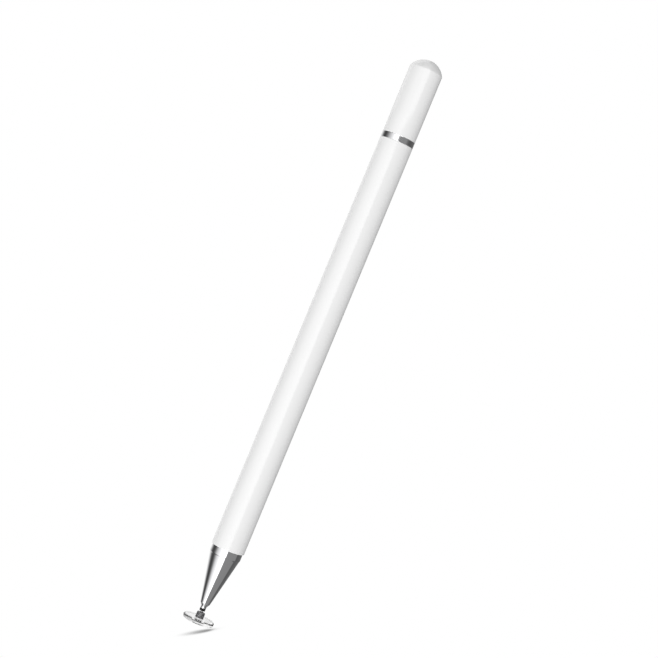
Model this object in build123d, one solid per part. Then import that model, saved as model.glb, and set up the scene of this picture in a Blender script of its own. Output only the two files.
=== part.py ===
# Disc-tip stylus pen with a pull-off magnetic cap, drawn standing upright on its tip.
# The pen's axis is +Z, from the tip to the tail, and every piece is turned about it.
# The origin is the centre of the disc's lower face, the face that touches the screen. Lengths are millimetres.
from build123d import *
from math import atan2, cos, degrees, hypot, radians, sin, sqrt
import os

# Fits, as radial or face-to-face gaps
bond_gap = 0.02        # glue or press line between pieces that are fixed to each other
running_gap = 0.02     # play in the ball joint and under the disc's hub
turning_gap = 0.03     # between the disc's top and the collar's foot
thread_gap = 0.04      # between a screwed shank and its hole
cap_gap = 0.03         # between the cap's bore and the two seats it slides on
disc_gap = 0.03        # between the cap's bore and the disc's edge when the cap is worn on the tip
cap_tip_gap = 0.05     # between the cap's dome and the disc's lower edge when the cap is worn on the tip

# Barrel tube
barrel_diameter = 9.5
barrel_length = 120.0
barrel_wall = 0.6
barrel_edge = 0.3

# Cap: a drawn shell with a domed end and a steel ring lapped into its mouth
cap_inset = 0.03       # step in from the barrel's side to the cap's
cap_wall = 0.28
cap_dome_rise = 2.87   # from the crease to the top
cap_crease_fillet = 0.3
cap_ring_height = 1.7
cap_ring_edge = 0.22
cap_lap_length = 1.5

# Disc and the hub moulded into it
disc_thickness = 1.2
disc_lower_edge = 0.25
disc_upper_edge = 0.3
hub_shank_diameter = 1.6
hub_floor = 0.24       # clear plastic left under the hub
hub_flange_thickness = 0.2

# Ball joint: the collar tilts on the ball, and its foot is rolled in under the hub's flange
tilt_limit = 25.0      # degrees, any way
tilt_spare = 2.0       # degrees left before the stem meets the collar's mouth
ball_diameter = 1.3
stem_diameter = 0.6
collar_wall = 0.48
collar_rise = 0.46     # from the ball's centre to the collar's top
collar_taper = 0.12    # step in from the collar's side to its top
collar_taper_length = 0.25
collar_foot_edge = 0.08
collar_step = 0.16     # from the ball's bore out to the flange's pocket
collar_foot_thickness = 0.18
collar_foot_bite = 0.2  # how far the foot reaches in under the flange

# Ferrule, its black ring and the head of the ball pin
neck_ring_height = 0.72
neck_ring_play = 0.05
ferrule_neck_diameter = 1.6
ferrule_neck_length = 0.55
ferrule_flare_length = 0.93
ferrule_shank_diameter = 1.6
ferrule_shank_length = 6.0
pin_head_diameter = 1.0
pin_head_thickness = 0.4

# Nose cone
nose_tip_diameter = 2.76
nose_cone_length = 13.8
nose_shoulder = 0.16   # step from the land down to the cone's wide end
nose_shoulder_length = 0.3
nose_land_length = 2.0
nose_thread_length = 11.5
nose_hole_spare = 0.6  # depth of the ferrule's hole past its shank
nose_edge = 0.3

# Barrel ends: magnets, front bush and tail plug
front_magnet_length = 3.0
magnet_play = 0.1
front_bush_wall = 1.09
front_bush_length = 10.0
bush_edge = 0.3
plug_length = 11.0     # inside the barrel
plug_core_gap = 0.25   # from the barrel's bore in to the plug between its ribs
plug_wall = 0.88       # round the magnet's pocket
plug_rib_count = 6
plug_rib_width = 1.2
spigot_length = 6.0
spigot_edge = 0.4
spigot_end_wall = 2.2
tail_magnet_length = 4.0

# Radii that follow
barrel_radius = barrel_diameter / 2
barrel_bore = barrel_radius - barrel_wall
cap_radius = barrel_radius - cap_inset
cap_bore = cap_radius - cap_wall
cap_seat = cap_bore - cap_gap
cap_lap = cap_bore + cap_wall / 2
disc_radius = cap_bore - disc_gap
ball_radius = ball_diameter / 2
stem_radius = stem_diameter / 2
seat_radius = ball_radius + running_gap
collar_radius = seat_radius + collar_wall
flange_pocket = seat_radius + collar_step
flange_radius = flange_pocket - running_gap
foot_bore = flange_radius - collar_foot_bite
hub_neck_radius = foot_bore - running_gap
hub_radius = hub_shank_diameter / 2
ferrule_neck_radius = ferrule_neck_diameter / 2
ferrule_shank_radius = ferrule_shank_diameter / 2
pin_head_radius = pin_head_diameter / 2
bush_radius = barrel_bore - bond_gap
bush_bore = bush_radius - front_bush_wall
nose_thread_radius = bush_bore - thread_gap
nose_tip_radius = nose_tip_diameter / 2
plug_core = barrel_bore - plug_core_gap
plug_pocket = plug_core - plug_wall
tail_magnet_radius = plug_pocket - bond_gap
cap_dome_radius = (cap_radius**2 + cap_dome_rise**2) / (2 * cap_dome_rise)

# Heights that follow, from the screen up
collar_foot = disc_thickness + turning_gap
foot_top = collar_foot + collar_foot_thickness
flange_low = foot_top + running_gap
flange_top = flange_low + hub_flange_thickness
pocket_top = flange_top + running_gap
ball_centre = pocket_top + ball_radius
collar_top = ball_centre + collar_rise


def highest_when_tilted(radius, height, angle):
    """Height that a ring on the collar, given from the ball's centre, reaches when the collar tilts."""
    reach = hypot(radius, height)
    lean = max(0.0, atan2(radius, height) - radians(angle))
    return reach * cos(lean)


swing_angle = tilt_limit + tilt_spare
swing_height = max(
    highest_when_tilted(collar_radius - collar_taper, collar_rise, swing_angle),
    highest_when_tilted(collar_radius, collar_rise - collar_taper_length, swing_angle),
)
neck_ring_low = ball_centre + swing_height + running_gap
ferrule_end = neck_ring_low + neck_ring_height
nose_end = ferrule_end + ferrule_neck_length + ferrule_flare_length
nose_shoulder_low = nose_end + nose_cone_length
barrel_front = nose_shoulder_low + nose_shoulder_length + nose_land_length
barrel_back = barrel_front + barrel_length
pin_head_low = nose_end + ferrule_shank_length - pin_head_thickness - running_gap

# The cap's dome just clears both corners of the disc's lower edge when the cap's mouth meets the barrel's front
dome_inside = cap_dome_radius - cap_wall
disc_corners = [(disc_radius - disc_lower_edge, 0.0), (disc_radius, disc_lower_edge)]
dome_depth = max(barrel_front - z + cap_tip_gap - sqrt(dome_inside**2 - r**2) for r, z in disc_corners)
cap_mouth = barrel_back
dome_centre = cap_mouth + dome_depth
crease_height = dome_centre + cap_dome_radius - cap_dome_rise


def turned(outline):
    """Turn a closed outline, drawn as radius and height, about the pen's axis."""
    return revolve(Plane.XZ * make_face(outline), Axis.Z)


def corners(*points):
    """Closed outline with straight sides."""
    return Polyline(*points, close=True)


def ball_arc(centre, radius, start, end):
    """Arc of a ball on the axis, between two angles in degrees from straight up."""
    angles = [radians(start), radians((start + end) / 2), radians(end)]
    return ThreePointArc(*[(radius * sin(angle), centre + radius * cos(angle)) for angle in angles])


def barrel_tube():
    """Plain tube with both outer rims broken."""
    return turned(corners(
        (barrel_bore, barrel_front),
        (barrel_radius - barrel_edge, barrel_front),
        (barrel_radius, barrel_front + barrel_edge),
        (barrel_radius, barrel_back - barrel_edge),
        (barrel_radius - barrel_edge, barrel_back),
        (barrel_bore, barrel_back),
    ))


def front_magnet():
    """Ring magnet round the nose's thread, just behind the barrel's front end."""
    inside = nose_thread_radius + magnet_play
    outside = barrel_bore - magnet_play
    back = barrel_front + front_magnet_length
    return turned(corners((inside, barrel_front), (outside, barrel_front), (outside, back), (inside, back)))


def front_bush():
    """Threaded bush pressed into the barrel behind the magnet."""
    front = barrel_front + front_magnet_length
    back = front + front_bush_length
    return turned(corners(
        (bush_bore, front),
        (bush_radius, front),
        (bush_radius, back - bush_edge),
        (bush_radius - bush_edge, back),
        (bush_bore, back),
    ))


def nose_cone():
    """Cone with the cap's front seat, a screwed shank behind and the ferrule's hole in front."""
    hole = ferrule_shank_radius + thread_gap
    hole_end = nose_end + ferrule_shank_length + nose_hole_spare
    thread_end = barrel_front + nose_thread_length
    return turned(corners(
        (hole, nose_end),
        (nose_tip_radius, nose_end),
        (cap_seat - nose_shoulder, nose_shoulder_low),
        (cap_seat, nose_shoulder_low + nose_shoulder_length),
        (cap_seat, barrel_front),
        (nose_thread_radius, barrel_front),
        (nose_thread_radius, thread_end - nose_edge),
        (nose_thread_radius - nose_edge, thread_end),
        (0, thread_end),
        (0, hole_end),
        (hole, hole_end),
    ))


def tip_ferrule():
    """Neck, flare and screwed shank, bored for the ball pin's stem and recessed behind for its head."""
    bore = stem_radius + running_gap
    recess = pin_head_radius + running_gap
    recess_floor = pin_head_low - running_gap
    shank_end = nose_end + ferrule_shank_length
    return turned(corners(
        (bore, ferrule_end),
        (ferrule_neck_radius, ferrule_end),
        (ferrule_neck_radius, ferrule_end + ferrule_neck_length),
        (nose_tip_radius, nose_end),
        (ferrule_shank_radius, nose_end),
        (ferrule_shank_radius, shank_end),
        (recess, shank_end),
        (recess, recess_floor),
        (bore, recess_floor),
    ))


def neck_ring():
    """Soft ring under the ferrule, which the collar stops short of at full tilt."""
    inside = stem_radius + neck_ring_play
    return turned(corners(
        (inside, neck_ring_low),
        (ferrule_neck_radius, neck_ring_low),
        (ferrule_neck_radius, ferrule_end),
        (inside, ferrule_end),
    ))


def ball_pin():
    """Ball, stem and riveted head in one turned pin."""
    stem_angle = degrees(atan2(stem_radius, sqrt(ball_radius**2 - stem_radius**2)))
    stem_foot = ball_centre + sqrt(ball_radius**2 - stem_radius**2)
    head_top = pin_head_low + pin_head_thickness
    ball = ball_arc(ball_centre, ball_radius, 180, stem_angle)
    stem = Polyline(
        (stem_radius, stem_foot),
        (stem_radius, pin_head_low),
        (pin_head_radius, pin_head_low),
        (pin_head_radius, head_top),
        (0, head_top),
        (0, ball_centre - ball_radius),
    )
    return turned(ball + stem)


def socket_collar():
    """Collar with a ball seat, a mouth flared for the leaning stem and a foot rolled in under the flange."""
    swing = radians(swing_angle)
    along = sqrt(seat_radius**2 - stem_radius**2)
    mouth_radius = stem_radius * cos(swing) + along * sin(swing)
    mouth_height = along * cos(swing) - stem_radius * sin(swing)
    flare_radius = mouth_radius + (collar_rise - mouth_height) * sin(swing) / cos(swing)
    mouth_angle = degrees(atan2(mouth_radius, mouth_height))
    seat = ball_arc(ball_centre, seat_radius, mouth_angle, 90)
    walls = Polyline(
        (seat_radius, ball_centre),
        (seat_radius, pocket_top),
        (flange_pocket, pocket_top),
        (flange_pocket, foot_top),
        (foot_bore, foot_top),
        (foot_bore, collar_foot),
        (collar_radius - collar_foot_edge, collar_foot),
        (collar_radius, collar_foot + collar_foot_edge),
        (collar_radius, collar_top - collar_taper_length),
        (collar_radius - collar_taper, collar_top),
        (flare_radius, collar_top),
        (mouth_radius, ball_centre + mouth_height),
    )
    return turned(seat + walls)


def contact_hub():
    """Metal seat of the disc: shank in the plastic, neck through the collar's foot, flange under the ball."""
    return turned(corners(
        (0, hub_floor),
        (hub_radius, hub_floor),
        (hub_radius, disc_thickness),
        (hub_neck_radius, disc_thickness),
        (hub_neck_radius, flange_low),
        (flange_radius, flange_low),
        (flange_radius, flange_top),
        (0, flange_top),
    ))


def disc_plate():
    """Clear disc with broken edges and a blind pocket for the hub."""
    pocket = hub_radius + bond_gap
    pocket_floor = hub_floor - bond_gap
    return turned(corners(
        (0, 0),
        (disc_radius - disc_lower_edge, 0),
        (disc_radius, disc_lower_edge),
        (disc_radius, disc_thickness - disc_upper_edge),
        (disc_radius - disc_upper_edge, disc_thickness),
        (pocket, disc_thickness),
        (pocket, pocket_floor),
        (0, pocket_floor),
    ))


def tail_plug():
    """Plug with crush ribs, a spigot for the cap and a pocket for the magnet, open towards the barrel."""
    front = barrel_back - plug_length
    spigot_end = barrel_back + spigot_length
    pocket_end = spigot_end - spigot_end_wall
    body = turned(corners(
        (plug_pocket, front),
        (plug_core, front),
        (plug_core, barrel_back),
        (cap_seat, barrel_back),
        (cap_seat, spigot_end - spigot_edge),
        (cap_seat - spigot_edge, spigot_end),
        (0, spigot_end),
        (0, pocket_end),
        (plug_pocket, pocket_end),
    ))
    rib_ring = turned(corners(
        (plug_core - plug_core_gap, front + plug_core_gap),
        (barrel_bore - bond_gap, front + plug_core_gap),
        (barrel_bore - bond_gap, barrel_back),
        (plug_core - plug_core_gap, barrel_back),
    ))
    rib_height = plug_length - plug_core_gap
    rib_blank = Pos(barrel_bore, 0, barrel_back - rib_height / 2) * Box(barrel_bore, plug_rib_width, rib_height)
    rib_blanks = PolarLocations(0, plug_rib_count) * rib_blank
    return body + [rib_ring & blank for blank in rib_blanks]


def tail_magnet():
    """Round magnet at the closed end of the plug's pocket, level with the cap's ring."""
    radius = tail_magnet_radius
    top = barrel_back + spigot_length - spigot_end_wall
    low = top - tail_magnet_length
    return turned(corners((0, low), (radius, low), (radius, top), (0, top)))


def cap_ring():
    """Steel ring at the cap's mouth, with a thin skirt that laps inside the shell."""
    ring_top = cap_mouth + cap_ring_height
    skirt = cap_lap - bond_gap / 2
    skirt_top = ring_top + cap_lap_length
    return turned(corners(
        (cap_bore, cap_mouth),
        (cap_radius - cap_ring_edge, cap_mouth),
        (cap_radius, cap_mouth + cap_ring_edge),
        (cap_radius, ring_top),
        (skirt, ring_top),
        (skirt, skirt_top),
        (cap_bore, skirt_top),
    ))


def cap_shell():
    """Thin drawn shell with a domed end, counterbored at its mouth for the ring's skirt."""
    low = cap_mouth + cap_ring_height
    counterbore = cap_lap + bond_gap / 2
    counterbore_top = low + cap_lap_length + bond_gap
    bore_angle = degrees(atan2(cap_bore, sqrt(dome_inside**2 - cap_bore**2)))
    crease_angle = degrees(atan2(cap_radius, crease_height - dome_centre))
    bore_top = dome_centre + sqrt(dome_inside**2 - cap_bore**2)
    dome_out = ball_arc(dome_centre, cap_dome_radius, crease_angle, 0)
    thickness = Line((0, dome_centre + cap_dome_radius), (0, dome_centre + dome_inside))
    dome_in = ball_arc(dome_centre, dome_inside, 0, bore_angle)
    sides = Polyline(
        (cap_bore, bore_top),
        (cap_bore, counterbore_top),
        (counterbore, counterbore_top),
        (counterbore, low),
        (cap_radius, low),
        (cap_radius, crease_height),
    )
    shell = turned(dome_out + thickness + dome_in + sides)
    crease = shell.edges().filter_by(GeomType.CIRCLE).sort_by(lambda edge: abs(edge.center().Z - crease_height))
    outer = [edge for edge in crease if abs(edge.radius - cap_radius) < cap_wall / 2]
    return fillet(outer[0], cap_crease_fillet)


pieces = {
    "barrel_tube": barrel_tube,
    "front_magnet": front_magnet,
    "front_bush": front_bush,
    "nose_cone": nose_cone,
    "tip_ferrule": tip_ferrule,
    "neck_ring": neck_ring,
    "ball_pin": ball_pin,
    "socket_collar": socket_collar,
    "contact_hub": contact_hub,
    "disc_plate": disc_plate,
    "tail_plug": tail_plug,
    "tail_magnet": tail_magnet,
    "cap_ring": cap_ring,
    "cap_shell": cap_shell,
}

os.makedirs("parts", exist_ok=True)
for name, make in pieces.items():
    export_step(make(), os.path.join("parts", name + ".step"))
print(f"ball centre {ball_centre:.3f}, barrel from {barrel_front:.3f} to {barrel_back:.3f}")
print(f"cap from {cap_mouth:.3f} to {dome_centre + cap_dome_radius:.3f}, crease {crease_height:.3f}")
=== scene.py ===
"""Looks of a disc-tip stylus pen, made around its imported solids.

Lengths are metres in the solids' own frame, where +Z runs along the pen from the tip to the tail.
"""
import logging
import math
from dataclasses import dataclass
from enum import Enum

import bpy
from mathutils import Matrix, Vector


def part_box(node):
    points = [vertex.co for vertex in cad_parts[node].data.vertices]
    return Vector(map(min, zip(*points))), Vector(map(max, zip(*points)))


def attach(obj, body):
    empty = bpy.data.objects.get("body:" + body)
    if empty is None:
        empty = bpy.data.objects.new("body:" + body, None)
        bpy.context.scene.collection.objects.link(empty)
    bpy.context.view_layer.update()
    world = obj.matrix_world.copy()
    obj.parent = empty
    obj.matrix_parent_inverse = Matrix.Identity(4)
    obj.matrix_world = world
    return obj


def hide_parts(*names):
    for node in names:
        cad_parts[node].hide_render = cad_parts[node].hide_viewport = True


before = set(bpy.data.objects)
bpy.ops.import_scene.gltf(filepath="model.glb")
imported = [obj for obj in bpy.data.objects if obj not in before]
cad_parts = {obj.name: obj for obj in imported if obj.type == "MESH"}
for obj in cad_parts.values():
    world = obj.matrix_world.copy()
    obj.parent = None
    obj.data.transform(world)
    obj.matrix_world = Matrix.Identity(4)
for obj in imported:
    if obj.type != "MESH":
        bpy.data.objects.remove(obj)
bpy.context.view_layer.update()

LOG = logging.getLogger("stylus")
MM = 0.001
MICRON = 0.000001

# Angles from straight up, and a whole turn, in degrees
UP = 0.0
SIDEWAYS = 90.0
DOWN = 180.0
FULL_TURN = 360.0

# Turned outlines: radius on the axis, radius under which a ring is one point, dimensions of the plane,
# fewest corners of a face, and place of a piece's second finish
AXIS = 0.0
ON_AXIS = 0.1 * MICRON
PLANE = 2
FACE_CORNERS = 3
SECOND_COAT = 1

# Radius of the ball pin's stem, which the pieces round it clear
STEM_RADIUS = 0.3 * MM

# Places of sockets that share their name with others of their node
FIRST_COLOUR = 6
SECOND_COLOUR = 7
BLENDED_COLOUR = 2
FRONT_SHADER = 1
BACK_SHADER = 2

OPAQUE = 1.0
WHITE = (1.0, 1.0, 1.0, OPAQUE)
RAMP_MIDDLE = 0.5
ALL_RAYS = ("camera", "diffuse", "glossy", "transmission", "volume_scatter", "shadow")
SQUARE = ((-1, -1), (1, -1), (1, 1), (-1, 1))

Colour = tuple[float, float, float]
Range = tuple[float, float]
Rim = tuple[float, float]


class Grain(Enum):
    """How the fine texture of a surface runs."""

    PEEL = "soft even dimples, as in sprayed lacquer"
    TURNED = "fine rings round the pen's axis, as the lathe leaves them"
    MATT = "fine even grain"


GRAIN_DETAIL = {Grain.PEEL: 1.0, Grain.TURNED: 3.0, Grain.MATT: 5.0}
CLOUD_DETAIL = 4.0


class Graph:
    """A node tree that is filled from nothing."""

    def __init__(self, tree: bpy.types.NodeTree) -> None:
        """Empty the tree and keep it."""
        tree.nodes.clear()
        self.tree = tree

    def add(
        self, kind: str, inputs: dict[str | int, object] | None = None, **settings: object
    ) -> bpy.types.Node:
        """Add one node.

        Args:
            kind: Blender's name of the node type.
            inputs: Values for its input sockets by name or place. An output socket there is linked.
            **settings: Values for the node's own properties.

        Returns:
            The new node.
        """
        node = self.tree.nodes.new(kind)
        for name, value in settings.items():
            setattr(node, name, value)
        for name, value in (inputs or {}).items():
            if isinstance(value, bpy.types.NodeSocket):
                self.tree.links.new(value, node.inputs[name])
            else:
                node.inputs[name].default_value = value
        return node

    def math(self, operation: str, first: object, second: object) -> bpy.types.NodeSocket:
        """Add a Math node.

        Args:
            operation: Blender's name of the operation.
            first: Number or output socket for the first input.
            second: Number or output socket for the second input.

        Returns:
            The result socket.
        """
        node = self.add("ShaderNodeMath", operation=operation)
        for socket, value in zip(node.inputs, (first, second)):
            if isinstance(value, bpy.types.NodeSocket):
                self.tree.links.new(value, socket)
            else:
                socket.default_value = value
        return node.outputs[0]


@dataclass(frozen=True)
class Finish:
    """A surface finish: what the material is and how fine its marks are.

    Attributes:
        slot: Material slot of the record.
        colour: Base colour.
        drift: Share by which the colour darkens in its faint clouds.
        roughness: Least and most roughness, from clean to handled.
        grain: How the fine texture runs.
        grain_size: Distance between its marks.
        grain_depth: Depth of its marks.
        metallic: 1 for bare metal.
        ior: Refractive index.
        transmission: 1 for clear material.
        anisotropy: How far reflections stretch across the turning marks.
        cloud_size: Distance between the clouds.
    """

    slot: str
    colour: Colour
    drift: float
    roughness: Range
    grain: Grain
    grain_size: float
    grain_depth: float
    metallic: float = 0.0
    ior: float = 1.5
    transmission: float = 0.0
    anisotropy: float = 0.0
    cloud_size: float = 6 * MM

    def marks(self, graph: Graph, place: bpy.types.NodeSocket) -> bpy.types.NodeSocket:
        """Add the texture that gives the surface its fine relief.

        Args:
            graph: Node tree of the material.
            place: Socket with the point on the object.

        Returns:
            Height of the relief, from 0 to 1.
        """
        fineness = {"Scale": 1 / self.grain_size, "Detail": GRAIN_DETAIL[self.grain]}
        if self.grain is Grain.TURNED:
            along = graph.add("ShaderNodeSeparateXYZ", {"Vector": place}).outputs["Z"]
            rings = graph.add("ShaderNodeTexNoise", {"W": along, **fineness}, noise_dimensions="1D")
            return rings.outputs[0]
        return graph.add("ShaderNodeTexNoise", {"Vector": place, **fineness}).outputs[0]

    def material(self) -> bpy.types.Material:
        """Make the finish's material, once.

        Returns:
            The new material, or the one that was made before.
        """
        name = self.slot + "_finish"
        made = bpy.data.materials.get(name)
        if made:
            return made
        made = bpy.data.materials.new(name)
        made.use_nodes = True
        graph = Graph(made.node_tree)
        place = graph.add("ShaderNodeTexCoord").outputs["Object"]
        clouds = graph.add("ShaderNodeTexNoise", {
            "Vector": place,
            "Scale": 1 / self.cloud_size,
            "Detail": CLOUD_DETAIL,
        }).outputs[0]
        faded = tuple(channel * (1 - self.drift) for channel in self.colour)
        tint = graph.add("ShaderNodeMix", {
            "Factor": clouds,
            FIRST_COLOUR: (*faded, OPAQUE),
            SECOND_COLOUR: (*self.colour, OPAQUE),
        }, data_type="RGBA")
        least, most = self.roughness
        handled = graph.add("ShaderNodeMapRange", {"Value": clouds, "To Min": least, "To Max": most})
        relief = graph.add("ShaderNodeBump", {
            "Height": self.marks(graph, place),
            "Distance": self.grain_depth,
        })
        surface = graph.add("ShaderNodeBsdfPrincipled", {
            "Base Color": tint.outputs[BLENDED_COLOUR],
            "Roughness": handled.outputs[0],
            "Normal": relief.outputs[0],
            "Metallic": self.metallic,
            "IOR": self.ior,
            "Transmission Weight": self.transmission,
            "Anisotropic": self.anisotropy,
        })
        if self.anisotropy:
            round_axis = graph.add("ShaderNodeTangent", direction_type="RADIAL", axis="Z")
            graph.tree.links.new(round_axis.outputs[0], surface.inputs["Tangent"])
        graph.add("ShaderNodeOutputMaterial", {"Surface": surface.outputs[0]})
        return made


WHITE_LACQUER = Finish(
    slot="white_lacquer", colour=(0.9, 0.9, 0.9), drift=0.012, roughness=(0.04, 0.07),
    grain=Grain.PEEL, grain_size=0.9 * MM, grain_depth=0.6 * MICRON)
BRIGHT_CHROME = Finish(
    slot="bright_chrome", colour=(0.72, 0.72, 0.73), drift=0.03, roughness=(0.03, 0.07), metallic=1.0,
    grain=Grain.TURNED, grain_size=0.12 * MM, grain_depth=0.15 * MICRON)
SATIN_STEEL = Finish(
    slot="satin_steel", colour=(0.19, 0.19, 0.195), drift=0.12, roughness=(0.52, 0.62), metallic=1.0,
    anisotropy=0.4, grain=Grain.TURNED, grain_size=0.06 * MM, grain_depth=0.8 * MICRON,
    cloud_size=0.8 * MM)
# Lighter, smoother steel: a painted highlight on the collar's top face and on the ball pin's stem
PAINTED_HIGHLIGHT_STEEL = Finish(
    slot="painted_highlight_steel", colour=(0.45, 0.45, 0.46), drift=0.1, roughness=(0.3, 0.4), metallic=1.0,
    grain=Grain.TURNED, grain_size=0.06 * MM, grain_depth=0.5 * MICRON, cloud_size=0.8 * MM)
DARK_STEEL = Finish(
    slot="dark_steel", colour=(0.06, 0.06, 0.065), drift=0.2, roughness=(0.25, 0.35), metallic=1.0,
    grain=Grain.TURNED, grain_size=0.05 * MM, grain_depth=0.5 * MICRON, cloud_size=0.8 * MM)
# Near-black for the soft neck ring: painted shade where the gap between ferrule and collar lies in
# shadow
BLACK_RUBBER_PAINTED_SHADE = Finish(
    slot="black_rubber", colour=(0.008, 0.008, 0.008), drift=0.25, roughness=(0.5, 0.7), ior=1.3,
    grain=Grain.MATT, grain_size=0.05 * MM, grain_depth=2 * MICRON, cloud_size=0.6 * MM)
CLEAR_PLASTIC = Finish(
    slot="clear_plastic", colour=(0.985, 0.985, 0.985), drift=0.01, roughness=(0.0, 0.02),
    transmission=1.0, grain=Grain.PEEL, grain_size=1.5 * MM, grain_depth=0.2 * MICRON,
    cloud_size=3 * MM)
BRASS = Finish(
    slot="brass", colour=(0.78, 0.6, 0.3), drift=0.08, roughness=(0.2, 0.3), metallic=1.0,
    grain=Grain.TURNED, grain_size=0.1 * MM, grain_depth=1.5 * MICRON)
NICKEL = Finish(
    slot="magnet", colour=(0.55, 0.55, 0.54), drift=0.06, roughness=(0.18, 0.28), metallic=1.0,
    grain=Grain.MATT, grain_size=0.2 * MM, grain_depth=0.8 * MICRON)
PLUG_PLASTIC = Finish(
    slot="plug_plastic", colour=(0.06, 0.06, 0.065), drift=0.15, roughness=(0.4, 0.55),
    grain=Grain.MATT, grain_size=0.12 * MM, grain_depth=3 * MICRON)


@dataclass(frozen=True)
class Corner:
    """A corner of a turned outline.

    Attributes:
        radius: Distance from the pen's axis.
        height: Height along the axis.
        rounding: Radius that rounds the corner, or 0 for a sharp one.
        coat: Which of the piece's finishes covers the run that follows.
    """

    radius: float
    height: float
    rounding: float = 0.0
    coat: int = 0

    def point(self) -> Vector:
        """Return the corner as a point of the outline's plane."""
        return Vector((self.radius, self.height))


def ball_corners(centre: float, radius: float, start: float, end: float, steps: int) -> list[Corner]:
    """Set corners along a ball on the axis.

    Args:
        centre: Height of the ball's centre.
        radius: Radius of the ball.
        start: First angle from straight up, in degrees.
        end: Last angle from straight up, in degrees.
        steps: Number of equal steps between them.

    Returns:
        The corners, with both ends.
    """
    corners = []
    for step in range(steps + 1):
        angle = math.radians(start + (end - start) * step / steps)
        corners.append(Corner(abs(radius * math.sin(angle)), centre + radius * math.cos(angle)))
    return corners


@dataclass(frozen=True)
class Turning:
    """A solid turned about the pen's axis from a closed outline, drawn with its inside on the left.

    Attributes:
        corners: The outline.
        sides: Facets round the axis.
        arc_step: Largest turn between two rings of a rounding, in degrees.
        least_steps: Fewest steps of a rounding.
        hold: Distance from a corner of the ring that keeps the flat beside it flat.
        held_from: Length from which a flat gets such rings, in holds.
        crease: Angle above which an edge stays sharp, in degrees.
    """

    corners: list[Corner]
    sides: int = 160
    arc_step: float = 12.0
    least_steps: int = 2
    hold: float = 0.05 * MM
    held_from: float = 6.0
    crease: float = 24.0

    def rounded(self, index: int) -> list[Vector]:
        """Find the points that take the place of one corner.

        Args:
            index: Which corner.

        Returns:
            The corner itself, or points along its rounding.
        """
        corner = self.corners[index]
        here = corner.point()
        if not corner.rounding:
            return [here]
        back = (self.corners[index - 1].point() - here).normalized()
        ahead = (self.corners[(index + 1) % len(self.corners)].point() - here).normalized()
        half = back.angle(ahead) / 2
        turn = math.pi - 2 * half
        centre = here + (back + ahead).normalized() * corner.rounding / math.sin(half)
        start = here + back * corner.rounding / math.tan(half) - centre
        way = 1 if -back.cross(ahead) > 0 else -1
        steps = max(self.least_steps, math.ceil(math.degrees(turn) / self.arc_step))
        angles = [way * turn * step / steps for step in range(steps + 1)]
        return [centre + Matrix.Rotation(angle, PLANE) @ start for angle in angles]

    def outline(self) -> list[tuple[Vector, int]]:
        """Round the corners, and add points that hold the long flats.

        Returns:
            The outline's points, each with the coat of the run that follows it.
        """
        points = []
        for index, corner in enumerate(self.corners):
            points += [(point, corner.coat) for point in self.rounded(index)]
        held = []
        for (here, coat), (ahead, _) in zip(points, points[1:] + points[:1]):
            held.append((here, coat))
            run = ahead - here
            if run.length > self.held_from * self.hold:
                inset = run.normalized() * self.hold
                held.append((here + inset, coat))
                held.append((ahead - inset, coat))
        return held

    def mesh(self, name: str) -> bpy.types.Mesh:
        """Turn the outline.

        Args:
            name: Name of the mesh.

        Returns:
            A closed mesh with smooth faces, and sharp edges where the outline is sharp.
        """
        vertices: list[tuple[float, float, float]] = []
        rings: list[tuple[list[int], int]] = []
        for (radius, height), coat in self.outline():
            count = 1 if radius < ON_AXIS else self.sides
            first = len(vertices)
            for side in range(count):
                angle = math.tau * side / self.sides
                vertices.append((radius * math.cos(angle), radius * math.sin(angle), height))
            rings.append(([first + side % count for side in range(self.sides + 1)], coat))
        faces = []
        coats = []
        for (low, coat), (high, _) in zip(rings, rings[1:] + rings[:1]):
            for side in range(self.sides):
                loop = [low[side], low[side + 1], high[side + 1], high[side]]
                face = list(dict.fromkeys(loop))
                if len(face) >= FACE_CORNERS:
                    faces.append(face)
                    coats.append(coat)
        mesh = bpy.data.meshes.new(name)
        mesh.from_pydata(vertices, [], faces)
        for face, coat in zip(mesh.polygons, coats):
            face.material_index = coat
        mesh.shade_smooth()
        mesh.set_sharp_from_angle(angle=math.radians(self.crease))
        return mesh


@dataclass(frozen=True)
class Span:
    """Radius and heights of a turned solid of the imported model."""

    radius: float
    low: float
    high: float

    @classmethod
    def of(cls, node: str) -> "Span":
        """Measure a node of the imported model."""
        lowest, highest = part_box(node)
        return cls(highest.x, lowest.z, highest.z)

    @classmethod
    def within(cls, node: str) -> "Span":
        """Measure a node by the circle that its box holds on all four sides."""
        lowest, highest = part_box(node)
        return cls(min(highest.x, highest.y, -lowest.x, -lowest.y), lowest.z, highest.z)


def place_piece(name: str, shape: Turning, finishes: list[Finish], node: str, body: str) -> None:
    """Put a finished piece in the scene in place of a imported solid.

    Args:
        name: Name of the piece.
        shape: Its shape, in place.
        finishes: Its finishes, the main one first.
        node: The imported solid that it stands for.
        body: The body that it moves with.
    """
    mesh = shape.mesh(name)
    for finish in finishes:
        mesh.materials.append(finish.material())
    piece = bpy.data.objects.new(name, mesh)
    bpy.context.scene.collection.objects.link(piece)
    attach(piece, body)
    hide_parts(node)
    LOG.info("%s: %d faces, moves with %s", name, len(mesh.polygons), body)


@dataclass(frozen=True)
class Barrel:
    """Lacquered tube that the hand holds."""

    wall: float = 0.6 * MM
    front_round: float = 0.2 * MM
    tail_round: float = 0.12 * MM

    def build(self) -> None:
        """Turn the tube and lacquer it."""
        span = Span.within("barrel_tube")
        bore = span.radius - self.wall
        tube = Turning([
            Corner(bore, span.low),
            Corner(span.radius, span.low, self.front_round),
            Corner(span.radius, span.high, self.tail_round),
            Corner(bore, span.high),
        ])
        place_piece("lacquered_barrel", tube, [WHITE_LACQUER], "barrel_tube", "pen")


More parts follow.
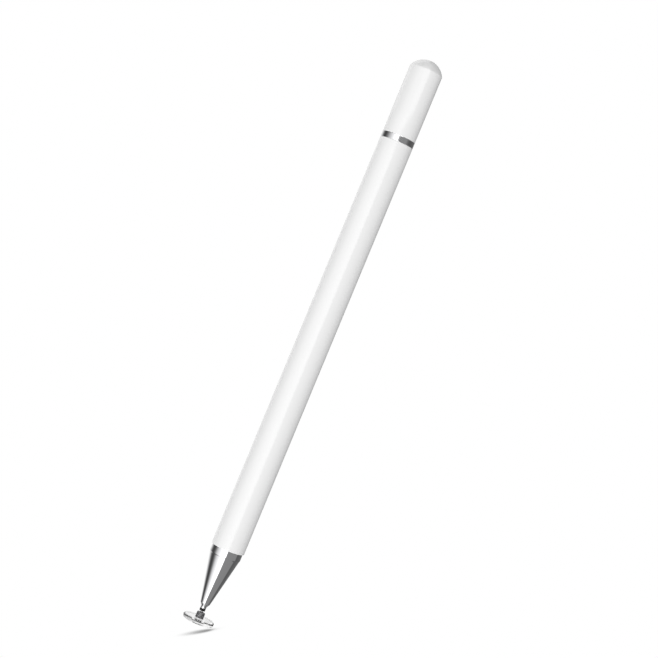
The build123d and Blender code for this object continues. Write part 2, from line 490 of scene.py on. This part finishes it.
@dataclass(frozen=True)
class Nose:
    """Polished cone with the land that the cap sits on, and the screwed shank behind it."""

    land_length: float = 2.0 * MM
    shoulder_drop: float = 0.16 * MM
    shoulder_length: float = 0.3 * MM
    shoulder_round: float = 0.5 * MM
    tip_round: float = 0.03 * MM
    thread_radius: float = 3.0 * MM
    thread_edge: float = 0.3 * MM
    hole_radius: float = 0.84 * MM
    hole_depth: float = 6.6 * MM

    def build(self) -> None:
        """Turn the cone and polish it."""
        span = Span.of("nose_cone")
        front = Span.of("barrel_tube").low
        tip = Span.of("tip_ferrule").radius
        land_low = front - self.land_length
        shoulder = span.radius - self.shoulder_drop
        shoulder_low = land_low - self.shoulder_length
        hole_end = span.low + self.hole_depth
        cone = Turning([
            Corner(self.hole_radius, span.low),
            Corner(tip, span.low, self.tip_round),
            Corner(shoulder, shoulder_low, self.shoulder_round),
            Corner(span.radius, land_low, self.shoulder_round),
            Corner(span.radius, front),
            Corner(self.thread_radius, front),
            Corner(self.thread_radius, span.high - self.thread_edge),
            Corner(self.thread_radius - self.thread_edge, span.high),
            Corner(AXIS, span.high),
            Corner(AXIS, hole_end),
            Corner(self.hole_radius, hole_end),
        ])
        place_piece("polished_nose", cone, [BRIGHT_CHROME], "nose_cone", "pen")


@dataclass(frozen=True)
class Neck:
    """Ferrule at the nose's end, the soft ring under it, black as painted shade of the gap, and the
    ball pin that it holds.
    """

    neck_length: float = 0.55 * MM
    neck_round: float = 0.04 * MM
    waist_round: float = 0.2 * MM
    flare_round: float = 0.03 * MM
    shank_radius: float = 0.8 * MM
    stem_radius: float = STEM_RADIUS
    stem_play: float = 0.02 * MM
    ring_play: float = 0.05 * MM
    ring_round: float = 0.1 * MM
    head_radius: float = 0.5 * MM
    head_thickness: float = 0.4 * MM
    head_round: float = 0.06 * MM
    sides: int = 96
    ball_steps: int = 24

    def build(self) -> None:
        """Turn the three pieces and finish them."""
        self.build_ferrule()
        self.build_ring()
        self.build_pin()

    def build_ferrule(self) -> None:
        """Turn the ferrule: flare that carries on the cone, neck on the soft ring, and shank inside."""
        span = Span.of("tip_ferrule")
        neck = Span.of("neck_ring").radius
        flare_top = Span.of("nose_cone").low
        head = Span.of("ball_pin").high - self.head_thickness - self.stem_play
        bore = self.stem_radius + self.stem_play
        recess = self.head_radius + self.stem_play
        ferrule = Turning([
            Corner(bore, span.low),
            Corner(neck, span.low, self.neck_round),
            Corner(neck, span.low + self.neck_length, self.waist_round),
            Corner(span.radius, flare_top, self.flare_round),
            Corner(self.shank_radius, flare_top),
            Corner(self.shank_radius, span.high),
            Corner(recess, span.high),
            Corner(recess, head),
            Corner(bore, head),
        ], self.sides)
        place_piece("polished_ferrule", ferrule, [BRIGHT_CHROME], "tip_ferrule", "pen")

    def build_ring(self) -> None:
        """Turn the soft ring, with its outer edges rounded; its black paints the shade of the gap above
        the collar.
        """
        span = Span.of("neck_ring")
        inside = self.stem_radius + self.ring_play
        ring = Turning([
            Corner(inside, span.low),
            Corner(span.radius, span.low, self.ring_round),
            Corner(span.radius, span.high, self.ring_round),
            Corner(inside, span.high),
        ], self.sides)
        # The ring's black paints the shade of the gap between ferrule and collar
        place_piece("painted_shade_neck_ring", ring, [BLACK_RUBBER_PAINTED_SHADE], "neck_ring", "pen")

    def build_pin(self) -> None:
        """Turn the pin: ball, stem and riveted head."""
        span = Span.of("ball_pin")
        ball = span.radius
        centre = span.low + ball
        stem_angle = math.degrees(math.asin(self.stem_radius / ball))
        stem_low = centre + ball * math.cos(math.radians(stem_angle))
        head_low = span.high - self.head_thickness
        pin = Turning([
            *ball_corners(centre, ball, DOWN, stem_angle, self.ball_steps)[:-1],
            # The stem takes the lighter steel, a painted highlight
            Corner(self.stem_radius, stem_low, coat=SECOND_COAT),
            Corner(self.stem_radius, head_low),
            Corner(self.head_radius, head_low),
            Corner(self.head_radius, span.high, self.head_round),
            Corner(AXIS, span.high),
        ], self.sides)
        place_piece("blackened_ball_pin", pin, [DARK_STEEL, PAINTED_HIGHLIGHT_STEEL], "ball_pin", "pin")


@dataclass(frozen=True)
class DiscTip:
    """Clear disc, the metal hub let into it and the collar that joins the hub to the ball."""

    seat_play: float = 0.02 * MM
    stem_radius: float = STEM_RADIUS
    swing: float = math.radians(27)
    collar_taper: float = 0.12 * MM
    collar_taper_length: float = 0.25 * MM
    collar_edge_round: float = 0.03 * MM
    foot_round: float = 0.1 * MM
    foot_thickness: float = 0.18 * MM
    foot_bore: float = 0.61 * MM
    pocket_radius: float = 0.83 * MM
    hub_radius: float = 1.24 * MM
    hub_neck: float = 0.59 * MM
    hub_edge_round: float = 0.03 * MM
    flange_thickness: float = 0.2 * MM
    hub_play: float = 0.03 * MM
    lower_edge: float = 0.25 * MM
    upper_edge: float = 0.3 * MM
    rim_round: float = 0.06 * MM
    sides: int = 96
    seat_steps: int = 8

    def build(self) -> None:
        """Turn the three pieces and finish them."""
        self.build_collar()
        self.build_hub()
        self.build_disc()

    def build_collar(self) -> None:
        """Turn the collar: ball seat, mouth flared for the stem and foot rolled in under the flange,
        with lighter steel on its top face as a painted highlight.
        """
        span = Span.of("socket_collar")
        ball = Span.of("ball_pin")
        pocket_top = Span.of("contact_hub").high + self.seat_play
        centre = ball.low + ball.radius
        seat = ball.radius + self.seat_play
        along = math.sqrt(seat**2 - self.stem_radius**2)
        mouth = self.stem_radius * math.cos(self.swing) + along * math.sin(self.swing)
        mouth_rise = along * math.cos(self.swing) - self.stem_radius * math.sin(self.swing)
        flare = mouth + (span.high - centre - mouth_rise) * math.tan(self.swing)
        mouth_angle = math.degrees(math.atan2(mouth, mouth_rise))
        top = span.radius - self.collar_taper
        taper_low = span.high - self.collar_taper_length
        foot_top = span.low + self.foot_thickness
        collar = Turning([
            Corner(flare, span.high),
            *ball_corners(centre, seat, mouth_angle, SIDEWAYS, self.seat_steps),
            Corner(seat, pocket_top),
            Corner(self.pocket_radius, pocket_top),
            Corner(self.pocket_radius, foot_top),
            Corner(self.foot_bore, foot_top),
            Corner(self.foot_bore, span.low),
            Corner(span.radius, span.low, self.foot_round),
            Corner(span.radius, taper_low, self.collar_edge_round),
            # The rounded top edge and the top face take the lighter steel, a painted highlight
            Corner(top, span.high, self.collar_edge_round, coat=SECOND_COAT),
        ], self.sides)
        place_piece("turned_collar", collar, [SATIN_STEEL, PAINTED_HIGHLIGHT_STEEL], "socket_collar", "socket")

    def build_hub(self) -> None:
        """Turn the hub: shank in the disc, neck through the collar's foot and flange under the ball."""
        span = Span.of("contact_hub")
        top = Span.of("disc_plate").high
        flange_low = span.high - self.flange_thickness
        hub = Turning([
            Corner(AXIS, span.low),
            Corner(self.hub_radius, span.low, self.hub_edge_round),
            Corner(self.hub_radius, top),
            Corner(self.hub_neck, top),
            Corner(self.hub_neck, flange_low),
            Corner(span.radius, flange_low),
            Corner(span.radius, span.high, self.hub_edge_round),
            Corner(AXIS, span.high),
        ], self.sides)
        place_piece("turned_hub", hub, [SATIN_STEEL], "contact_hub", "disc")

    def build_disc(self) -> None:
        """Turn the disc, with broken edges and a pocket that leaves a fine air gap round the hub."""
        span = Span.of("disc_plate")
        pocket = self.hub_radius + self.hub_play
        pocket_floor = Span.of("contact_hub").low - self.hub_play
        disc = Turning([
            Corner(AXIS, span.low),
            Corner(span.radius - self.lower_edge, span.low, self.rim_round),
            Corner(span.radius, span.low + self.lower_edge, self.rim_round),
            Corner(span.radius, span.high - self.upper_edge, self.rim_round),
            Corner(span.radius - self.upper_edge, span.high, self.rim_round),
            Corner(pocket, span.high),
            Corner(pocket, pocket_floor),
            Corner(AXIS, pocket_floor),
        ])
        place_piece("clear_disc", disc, [CLEAR_PLASTIC], "disc_plate", "disc")


@dataclass(frozen=True)
class Cap:
    """Lacquered shell with a domed end, and the polished ring at its mouth."""

    wall: float = 0.28 * MM
    dome_rise: float = 3.08 * MM
    crease_round: float = 0.3 * MM
    lap_length: float = 1.5 * MM
    lap_gap: float = 0.02 * MM
    ring_round: float = 0.1 * MM
    seam_round: float = 0.04 * MM
    dome_steps: int = 28

    def build(self) -> None:
        """Turn both pieces and finish them."""
        self.build_ring()
        self.build_shell()

    def build_ring(self) -> None:
        """Turn the ring, with the thin skirt that laps inside the shell."""
        span = Span.of("cap_ring")
        seam = Span.of("cap_shell").low
        bore = span.radius - self.wall
        skirt = bore + self.wall / 2 - self.lap_gap / 2
        ring = Turning([
            Corner(bore, span.low),
            Corner(span.radius, span.low, self.ring_round),
            Corner(span.radius, seam, self.seam_round),
            Corner(skirt, seam),
            Corner(skirt, span.high),
            Corner(bore, span.high),
        ])
        place_piece("polished_cap_ring", ring, [BRIGHT_CHROME], "cap_ring", "cap")

    def build_shell(self) -> None:
        """Turn the shell, with its dome and the counterbore for the ring's skirt."""
        span = Span.of("cap_shell")
        bore = span.radius - self.wall
        counterbore = bore + self.wall / 2 + self.lap_gap / 2
        counterbore_top = span.low + self.lap_length + self.lap_gap
        dome = (span.radius**2 + self.dome_rise**2) / (2 * self.dome_rise)
        centre = span.high - dome
        inside = dome - self.wall
        crease_angle = math.degrees(math.asin(span.radius / dome))
        bore_angle = math.degrees(math.asin(bore / inside))
        outer = ball_corners(centre, dome, crease_angle, UP, self.dome_steps)
        outer[0] = Corner(span.radius, span.high - self.dome_rise, self.crease_round)
        shell = Turning([
            Corner(span.radius, span.low, self.seam_round),
            *outer,
            *ball_corners(centre, inside, UP, bore_angle, self.dome_steps),
            Corner(bore, counterbore_top),
            Corner(counterbore, counterbore_top),
            Corner(counterbore, span.low),
        ])
        place_piece("lacquered_cap", shell, [WHITE_LACQUER], "cap_shell", "cap")


@dataclass(frozen=True)
class Inside:
    """Pieces that nothing shows at rest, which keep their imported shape."""

    def build(self) -> None:
        """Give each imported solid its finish."""
        finishes = {
            "front_magnet": NICKEL,
            "front_bush": BRASS,
            "tail_magnet": NICKEL,
            "tail_plug": PLUG_PLASTIC,
        }
        for node, finish in finishes.items():
            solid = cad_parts[node]
            solid.data.materials.clear()
            solid.data.materials.append(finish.material())
            LOG.info("%s: packed solid with a new finish", node)


@dataclass(frozen=True)
class PhotoView:
    """Camera that sees the pen as the photograph does, level with its middle and rolled.

    Attributes:
        image_side: Width and height of the photograph in pixels.
        pixels_per_metre: Scale of the photograph at the pen's axis.
        lean: How far the pen leans to the right in the picture.
        aim_x: Where the middle of the picture meets the pen's plane, right of the axis.
        aim_z: The same, above the tip.
        distance: From the camera to the pen's axis.
        sensor_width: Width of the camera's sensor, in millimetres.
    """

    image_side: int = 658
    pixels_per_metre: float = 3662.0
    lean: float = math.radians(22.557)
    aim_x: float = 2.52 * MM
    aim_z: float = 87.491 * MM
    distance: float = 456 * MM
    sensor_width: float = 36.0

    def up(self) -> Vector:
        """Return the picture's upward direction in the pen's frame."""
        return Vector((-math.sin(self.lean), 0, math.cos(self.lean)))

    def build(self) -> None:
        """Make the camera."""
        lens = bpy.data.cameras.new("photo_camera")
        lens.sensor_width = self.sensor_width
        lens.lens = self.sensor_width * self.distance * self.pixels_per_metre / self.image_side
        camera = bpy.data.objects.new("photo_camera", lens)
        bpy.context.scene.collection.objects.link(camera)
        right = Vector((math.cos(self.lean), 0, math.sin(self.lean)))
        back = right.cross(self.up())
        camera.matrix_world = Matrix((right, self.up(), back)).transposed().to_4x4()
        camera.location = Vector((self.aim_x, 0, self.aim_z)) + back * self.distance
        bpy.context.scene.camera = camera


class Seen(Enum):
    """Which rays meet a part of the studio."""

    REFLECTIONS = ("glossy",)
    GLASS = ("transmission",)
    PICTURE = ("camera",)

    def limit(self, part: bpy.types.Object) -> None:
        """Let only these rays meet a part of the studio."""
        for ray in ALL_RAYS:
            setattr(part, "visible_" + ray, ray in self.value)


@dataclass(frozen=True)
class Lamp:
    """A soft square lamp that faces the middle of the pen and shows in no reflection.

    Attributes:
        name: Name of the lamp.
        power: Light that it gives, in watts.
        side: Width and height of its face.
        azimuth: Degrees to the right of the camera.
        elevation: Degrees above the middle of the pen.
        distance: From the middle of the pen.
        pen_middle: Height of the middle of the pen.
    """

    name: str
    power: float
    side: float
    azimuth: float
    elevation: float
    distance: float = 2400 * MM
    pen_middle: float = 80 * MM

    def build(self) -> None:
        """Hang the lamp."""
        light = bpy.data.lights.new(self.name, "AREA")
        light.shape = "SQUARE"
        light.size = self.side
        light.energy = self.power
        lamp = bpy.data.objects.new(self.name, light)
        bpy.context.scene.collection.objects.link(lamp)
        azimuth = math.radians(self.azimuth)
        elevation = math.radians(self.elevation)
        level = math.cos(elevation)
        back = Vector((level * math.sin(azimuth), -level * math.cos(azimuth), math.sin(elevation)))
        lamp.location = Vector((0, 0, self.pen_middle)) + back * self.distance
        lamp.rotation_euler = back.to_track_quat("Z", "Y").to_euler()
        lamp.visible_glossy = False


KEY_LAMP = Lamp(
    name="key_lamp", power=178.0, side=3600 * MM, azimuth=-9.7, elevation=-45, distance=4800 * MM)
RIM_LAMP = Lamp(name="rim_lamp", power=24.5, side=1200 * MM, azimuth=-140, elevation=37)


@dataclass(frozen=True)
class Panel:
    """Brightness of a studio wall at one azimuth, in degrees to the right of the camera."""

    azimuth: float
    level: float


@dataclass(frozen=True)
class Wall:
    """A round wall of light and dark panels about the pen's axis, out of the picture.

    Attributes:
        name: Name of the wall.
        seen: The rays that meet it.
        rims: Radius and height of its rims, from the lowest up.
        panels: Its brightness from -180 to 180 degrees; between two panels it blends.
        turned: Degrees by which the panels are turned to the right.
        sides: Facets round the axis.
    """

    name: str
    seen: Seen
    rims: tuple[Rim, ...]
    panels: tuple[Panel, ...]
    turned: float = 0.0
    sides: int = 180

    def material(self) -> bpy.types.Material:
        """Make the glow of the panels.

        Returns:
            The new material.
        """
        peak = max(panel.level for panel in self.panels)
        made = bpy.data.materials.new(self.name)
        made.use_nodes = True
        graph = Graph(made.node_tree)
        place = graph.add("ShaderNodeTexCoord").outputs["Object"]
        parts = graph.add("ShaderNodeSeparateXYZ", {"Vector": place}).outputs
        toward = graph.math("MULTIPLY", parts["Y"], -1.0)
        azimuth = graph.math("ARCTAN2", parts["X"], toward)
        turn = graph.add("ShaderNodeMapRange", {
            "Value": graph.math("SUBTRACT", azimuth, math.radians(self.turned)),
            "From Min": -math.pi,
            "From Max": math.pi,
        })
        ramp = graph.add("ShaderNodeValToRGB", {"Fac": turn.outputs[0]})
        stops = ramp.color_ramp.elements
        while len(stops) < len(self.panels):
            stops.new(RAMP_MIDDLE)
        for stop, panel in zip(stops, self.panels):
            level = panel.level / peak
            stop.position = RAMP_MIDDLE + panel.azimuth / FULL_TURN
            stop.color = (level, level, level, OPAQUE)
        light = graph.add("ShaderNodeEmission", {"Color": ramp.outputs[0], "Strength": peak})
        graph.add("ShaderNodeOutputMaterial", {"Surface": light.outputs[0]})
        return made

    def build(self) -> None:
        """Stand the wall."""
        count = self.sides
        points = []
        for radius, height in self.rims:
            for side in range(count):
                turn = math.tau * side / count
                points.append((radius * math.sin(turn), -radius * math.cos(turn), height))
        faces = []
        for low in range(0, count * (len(self.rims) - 1), count):
            for side in range(count):
                ahead = (side + 1) % count
                faces.append([low + side, low + ahead, low + count + ahead, low + count + side])
        mesh = bpy.data.meshes.new(self.name)
        mesh.from_pydata(points, [], faces)
        mesh.materials.append(self.material())
        wall = bpy.data.objects.new(self.name, mesh)
        bpy.context.scene.collection.objects.link(wall)
        self.seen.limit(wall)


SOFT_PANELS = (
    Panel(-180, 0.75), Panel(-170, 0.85), Panel(-150, 0.95), Panel(-140, 0.8), Panel(-130, 0.45),
    Panel(-119, 0.2), Panel(-109, 0.08), Panel(-91, 0.08), Panel(-78, 0.25), Panel(-62, 0.8),
    Panel(-49, 1.15), Panel(-36, 1.4), Panel(-20, 2.0), Panel(-8, 2.4), Panel(10.5, 2.4),
    Panel(12, 0.32), Panel(86, 0.3), Panel(94, 0.13), Panel(172, 0.2), Panel(180, 0.55))
RING_PANELS = (
    Panel(-180, 0.75), Panel(-170, 0.85), Panel(-150, 0.95), Panel(-140, 0.8), Panel(-130, 0.45),
    Panel(-119, 0.2), Panel(-109, 0.08), Panel(-95, 0.08), Panel(-82, 0.2), Panel(-70, 0.43),
    Panel(-55, 0.78), Panel(-40, 1.14), Panel(-27, 1.5), Panel(-14, 1.9), Panel(1.5, 1.9),
    Panel(3, 0.32), Panel(60, 0.32), Panel(72, 0.19), Panel(87, 0.1), Panel(172, 0.2),
    Panel(180, 0.55))


@dataclass(frozen=True)
class Storey:
    """One storey of the wall that polished and lacquered surfaces show.

    Attributes:
        name: Name of the storey.
        top: Height of its upper rim.
        turned: Degrees by which its panels are turned to the right.
        panels: Its panels.
    """

    name: str
    top: float
    turned: float = 0.0
    panels: tuple[Panel, ...] = SOFT_PANELS


@dataclass(frozen=True)
class ReflectedWall:
    """Tall round wall that only reflections show, built in storeys on a floor of panels.

    Attributes:
        radius: Radius of the wall.
        base: Height of its floor.
        hole: Radius of the hole in the floor.
        storeys: Its storeys, from the lowest up.
    """

    radius: float = 800 * MM
    base: float = -2400 * MM
    hole: float = 20 * MM
    storeys: tuple[Storey, ...] = (
        Storey("ferrule_band", -2100 * MM, turned=-11),
        Storey("shoulder_band", -620 * MM),
        Storey("cone_band_0", -515.5 * MM, turned=-11),
        Storey("cone_band_1", -504.5 * MM, turned=-6),
        Storey("cone_band_2", -493.5 * MM, turned=-2.5),
        Storey("reflected_wall", 230.5 * MM),
        Storey("ring_band", 246.5 * MM, panels=RING_PANELS),
        Storey("middle_band", 256.8 * MM),
        Storey("upper_band", 2400 * MM, turned=18.5),
    )

    def build(self) -> None:
        """Stand the storeys on one another."""
        below: tuple[Rim, ...] = ((self.hole, self.base), (self.radius, self.base))
        for storey in self.storeys:
            top = (self.radius, storey.top)
            Wall(storey.name, Seen.REFLECTIONS, (*below, top), storey.panels, storey.turned).build()
            below = (top,)


GLASS_WALL = Wall(
    name="glass_wall", seen=Seen.GLASS, rims=((700 * MM, -310 * MM), (700 * MM, 310 * MM)),
    panels=(
        Panel(-180, 1.0), Panel(80, 1.0), Panel(92, 0.58), Panel(168, 0.62), Panel(176, 1.0),
        Panel(180, 1.0)))
FLAG_ABOVE = Wall(
    name="flag_above", seen=Seen.GLASS, rims=((700 * MM, 404 * MM), (300 * MM, 700 * MM)),
    panels=(
        Panel(-180, 0.04), Panel(-128, 0.04), Panel(-118, 1.0), Panel(118, 1.0), Panel(128, 0.04),
        Panel(180, 0.04)))
FLAG_BELOW = Wall(
    name="flag_below", seen=Seen.GLASS,
    rims=((50 * MM, -750 * MM), (300 * MM, -700 * MM), (600 * MM, -580 * MM)),
    panels=(
        Panel(-180, 1.0), Panel(-130, 0.9), Panel(-119, 0.2), Panel(-109, 0.06), Panel(-91, 0.06),
        Panel(-78, 0.25), Panel(-62, 0.8), Panel(-36, 1.4), Panel(10.5, 1.4), Panel(12, 0.32),
        Panel(86, 0.3), Panel(94, 0.1), Panel(128, 0.15), Panel(140, 1.0), Panel(180, 1.0)))


@dataclass(frozen=True)
class Studio:
    """White surroundings and floor, two soft lamps, and walls that only some rays meet.

    Attributes:
        view: The camera.
        sight_level: Brightness of the surroundings to the camera, in reflections and through glass.
        fill_above: Light that the pen gets from the upper half of the surroundings.
        fill_below: Light that it gets from the lower half.
        fill_blend: How far above and below level the halves blend, as the direction's Z.
        floor_level: Brightness of the open floor.
        floor_gap: Air between the disc's lowest edge and the floor.
        floor_half: Half the floor's width.
        floor_slope: How far the floor climbs to the right in the picture.
        floor_pitch: How far it falls away from the camera.
        shadow_reach: Distance over which a piece shades the floor.
        shadow_level: Brightness of the deepest shade.
        shadow_clear: Share of open sky from which the floor isn't shaded.
    """

    view: PhotoView
    sight_level: float = 1.0
    fill_above: float = 0.7
    fill_below: float = 0.41
    fill_blend: float = 0.3
    floor_level: float = 1.0
    floor_gap: float = 0.55 * MM
    floor_half: float = 40 * MM
    floor_slope: float = math.radians(9)
    floor_pitch: float = math.radians(3)
    shadow_reach: float = 9 * MM
    shadow_level: float = 0.02
    shadow_clear: float = 0.85

    def build(self) -> None:
        """Set up the world, the lamps, the walls and the floor."""
        bpy.context.scene.view_settings.view_transform = "Standard"
        self.build_world()
        for part in (KEY_LAMP, RIM_LAMP, ReflectedWall(), GLASS_WALL, FLAG_ABOVE, FLAG_BELOW):
            part.build()
        self.build_floor()

    def build_world(self) -> None:
        """Make white surroundings, which light the pen less than they look, and least from below."""
        world = bpy.data.worlds.new("studio")
        world.use_nodes = True
        bpy.context.scene.world = world
        graph = Graph(world.node_tree)
        way = graph.add("ShaderNodeTexCoord").outputs["Generated"]
        height = graph.add("ShaderNodeSeparateXYZ", {"Vector": way}).outputs["Z"]
        fill = graph.add("ShaderNodeMapRange", {
            "Value": height,
            "From Min": -self.fill_blend,
            "From Max": self.fill_blend,
            "To Min": self.fill_below,
            "To Max": self.fill_above,
        })
        rays = graph.add("ShaderNodeLightPath").outputs
        sight = graph.math("MAXIMUM", rays["Is Camera Ray"], rays["Is Glossy Ray"])
        strength = graph.add("ShaderNodeMapRange", {
            "Value": graph.math("MAXIMUM", sight, rays["Is Transmission Ray"]),
            "To Min": fill.outputs[0],
            "To Max": self.sight_level,
        })
        light = graph.add("ShaderNodeBackground", {"Color": WHITE, "Strength": strength.outputs[0]})
        graph.add("ShaderNodeOutputWorld", {"Surface": light.outputs[0]})

    def floor_material(self) -> bpy.types.Material:
        """Make the floor's white, with a painted shadow near the pen from ambient occlusion, and clear
        from below.

        Returns:
            The new material.
        """
        made = bpy.data.materials.new("studio_floor")
        made.use_nodes = True
        graph = Graph(made.node_tree)
        # Painted shadow: the floor's glow darkens where ambient occlusion finds the pen close by, and
        # no lamp casts it
        sky = graph.add("ShaderNodeAmbientOcclusion", {"Distance": self.shadow_reach})
        shade = graph.add("ShaderNodeMapRange", {
            "Value": sky.outputs["AO"],
            "From Max": self.shadow_clear,
            "To Min": self.shadow_level,
            "To Max": self.floor_level,
        })
        painted_glow = graph.add("ShaderNodeEmission", {"Strength": shade.outputs[0]})
        clear = graph.add("ShaderNodeBsdfTransparent")
        surface = graph.add("ShaderNodeMixShader", {
            "Fac": graph.add("ShaderNodeNewGeometry").outputs["Backfacing"],
            FRONT_SHADER: painted_glow.outputs[0],
            BACK_SHADER: clear.outputs[0],
        })
        graph.add("ShaderNodeOutputMaterial", {"Surface": surface.outputs[0]})
        return made

    def build_floor(self) -> None:
        """Lay the white floor, nearly level in the picture, just under the disc's lowest edge."""
        lean = self.view.lean + self.floor_slope
        across = Vector((math.cos(lean), 0, math.sin(lean)))
        level = Vector((0, 1, 0))
        away = level * math.cos(self.floor_pitch) - across.cross(level) * math.sin(self.floor_pitch)
        up = across.cross(away)
        disc = Span.of("disc_plate")
        lowest = up.z * disc.low - math.hypot(up.x, up.y) * disc.radius
        middle = up * (lowest - self.floor_gap)
        points = [middle + (across * x + away * y) * self.floor_half for x, y in SQUARE]
        mesh = bpy.data.meshes.new("studio_floor")
        mesh.from_pydata([tuple(point) for point in points], [], [list(range(len(points)))])
        mesh.materials.append(self.floor_material())
        floor = bpy.data.objects.new("studio_floor", mesh)
        bpy.context.scene.collection.objects.link(floor)
        Seen.PICTURE.limit(floor)


def main() -> None:
    """Build the pen's pieces in order, then the studio round them."""
    logging.basicConfig(level=logging.INFO, format="%(message)s")
    for assembly in (Barrel(), Nose(), Neck(), DiscTip(), Cap(), Inside()):
        assembly.build()
    view = PhotoView()
    view.build()
    Studio(view).build()


if __name__ == "__main__":
    main()
